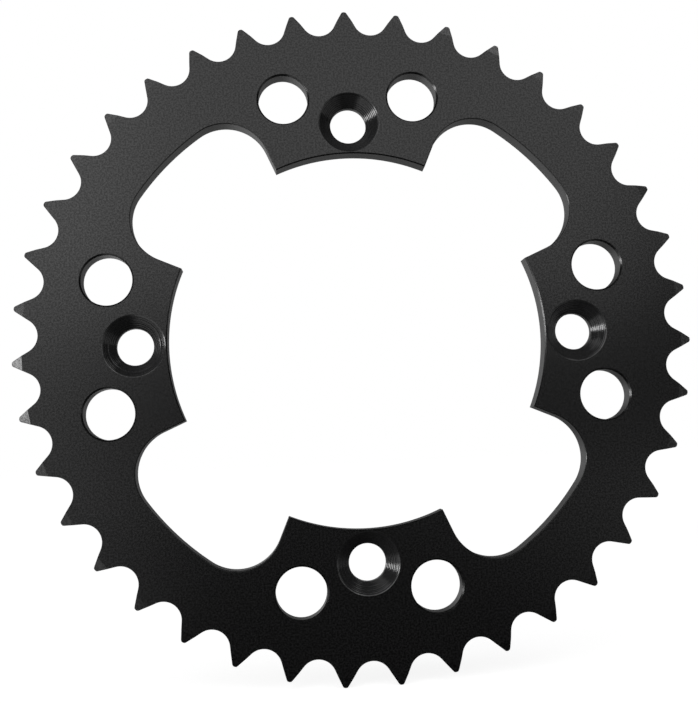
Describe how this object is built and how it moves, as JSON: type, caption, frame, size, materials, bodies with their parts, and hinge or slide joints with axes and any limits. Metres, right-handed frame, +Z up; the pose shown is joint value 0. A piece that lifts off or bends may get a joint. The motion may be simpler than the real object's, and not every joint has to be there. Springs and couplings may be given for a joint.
{
  "type": "rear sprocket",
  "caption": "Flat toothed ring for a roller chain, with inward lugs that carry countersunk bolt holes, rounded windows between them and lightening holes beside each lug.",
  "frame": {"origin": "on the wheel's axis, in the plane of the hub-side face that seats on the hub", "axes": "+Y along the wheel's axis, out of the hub-side face, so the countersunk face looks towards -Y; +Z up through one lug and the tooth centred on it; +X through the next lug"},
  "size_m": [0.2022, 0.0058, 0.2021],
  "materials": {
    "black_steel": "black oxide, satin"
  },
  "bodies": {
    "root": {"sprocket_plate": "black_steel"}
  },
  "joints": []
}
